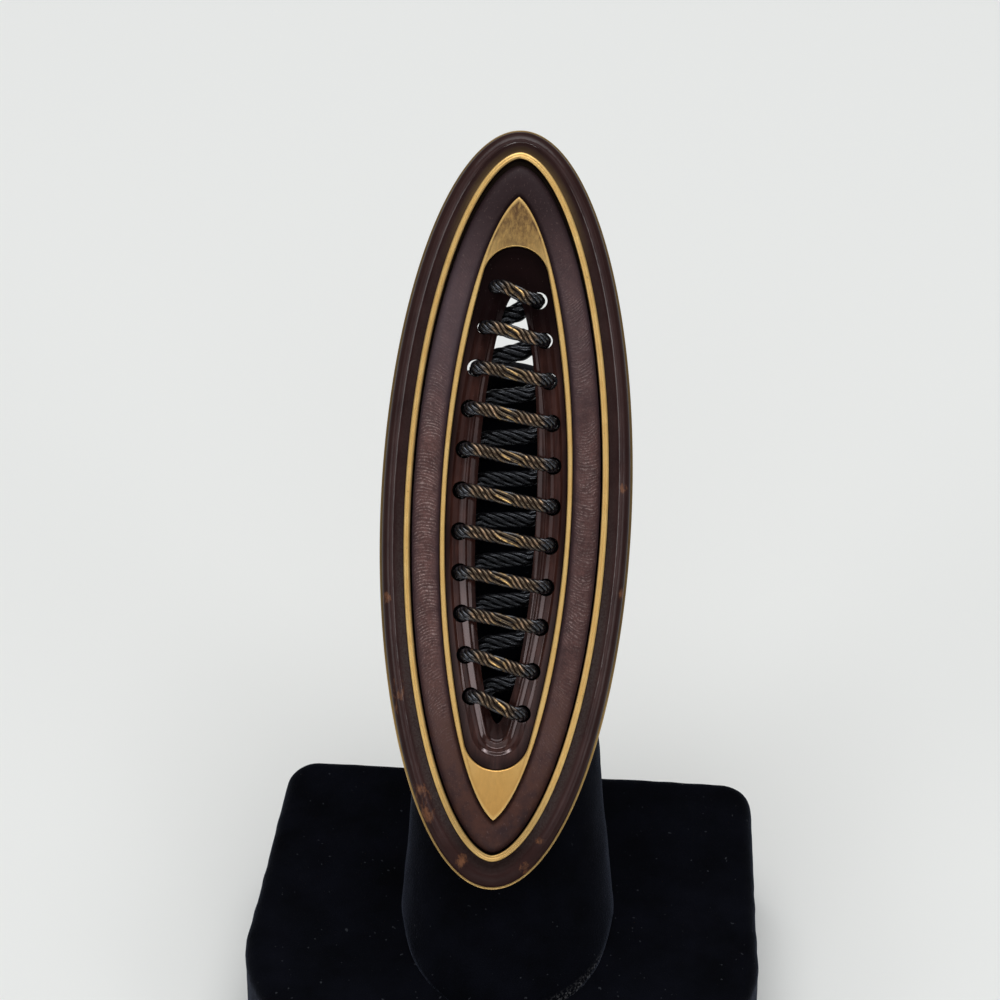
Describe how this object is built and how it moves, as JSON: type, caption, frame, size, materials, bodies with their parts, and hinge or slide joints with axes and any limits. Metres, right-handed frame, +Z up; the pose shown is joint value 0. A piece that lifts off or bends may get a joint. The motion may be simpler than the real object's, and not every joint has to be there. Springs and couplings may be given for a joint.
{
  "type": "boat-shaped ring on a velvet finger stand",
  "caption": "Long boat-shaped ring of brass, brown lacquer and leather with a laced slot, worn by the leaning finger of a small velvet stand.",
  "frame": {"origin": "middle of the flat underside of the stand's base", "axes": "+Z up, +X to the right of the stand's base seen from the front, -Y towards the viewer; the finger and the ring are turned 4.5 degrees counterclockwise about Z from that, and the ring's face is tipped back so that it lies 46.4 degrees above the ground"},
  "size_m": [0.052, 0.0656, 0.0804],
  "materials": {
    "brass": "satin",
    "brown_lacquer": "gloss, worn to gold in spots",
    "leather": "creased, semi-matt",
    "dark_resin": "gloss",
    "braided_cord": "braided black and bronze",
    "velvet": "velvet pile"
  },
  "bodies": {
    "root": {"brass_base": "brass", "outer_frame": "brown_lacquer", "inner_rim": "brass", "leather_band": "leather", "lens_plate": "brass", "laced_tray": "dark_resin", "lacing": "braided_cord", "stand_base": "velvet", "stand_finger": "velvet"}
  },
  "joints": []
}
